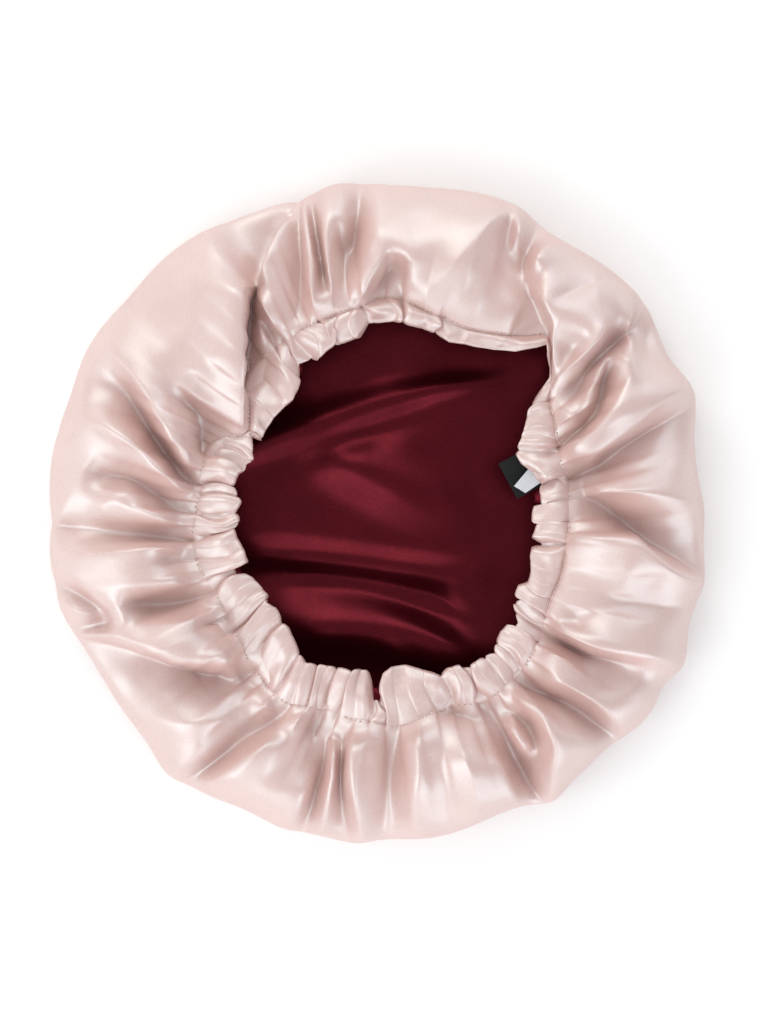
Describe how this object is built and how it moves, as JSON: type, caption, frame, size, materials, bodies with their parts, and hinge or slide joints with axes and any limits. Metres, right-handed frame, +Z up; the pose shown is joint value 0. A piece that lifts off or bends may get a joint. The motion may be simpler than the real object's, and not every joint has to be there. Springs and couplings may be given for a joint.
{
  "type": "sleep bonnet",
  "caption": "Round reversible satin bonnet lying crown down, with its puffed side gathered into an elastic casing round the open mouth.",
  "frame": {"origin": "on the surface the bonnet lies on, under the middle of its outline", "axes": "+Z up out of the opening, +X to the right and +Y to the top of the picture, which looks straight down; the labels are sewn in on the +X side of the opening"},
  "size_m": [0.349, 0.3519, 0.0517],
  "materials": {
    "blush_satin": "glossy blush pink satin",
    "burgundy_satin": "glossy burgundy satin",
    "black_label": "matt black woven label",
    "white_label": "plain white ribbon label"
  },
  "bodies": {
    "root": {"shell": "blush_satin", "casing": "blush_satin", "lining": "burgundy_satin", "woven_label": "black_label", "care_label": "white_label"}
  },
  "joints": []
}
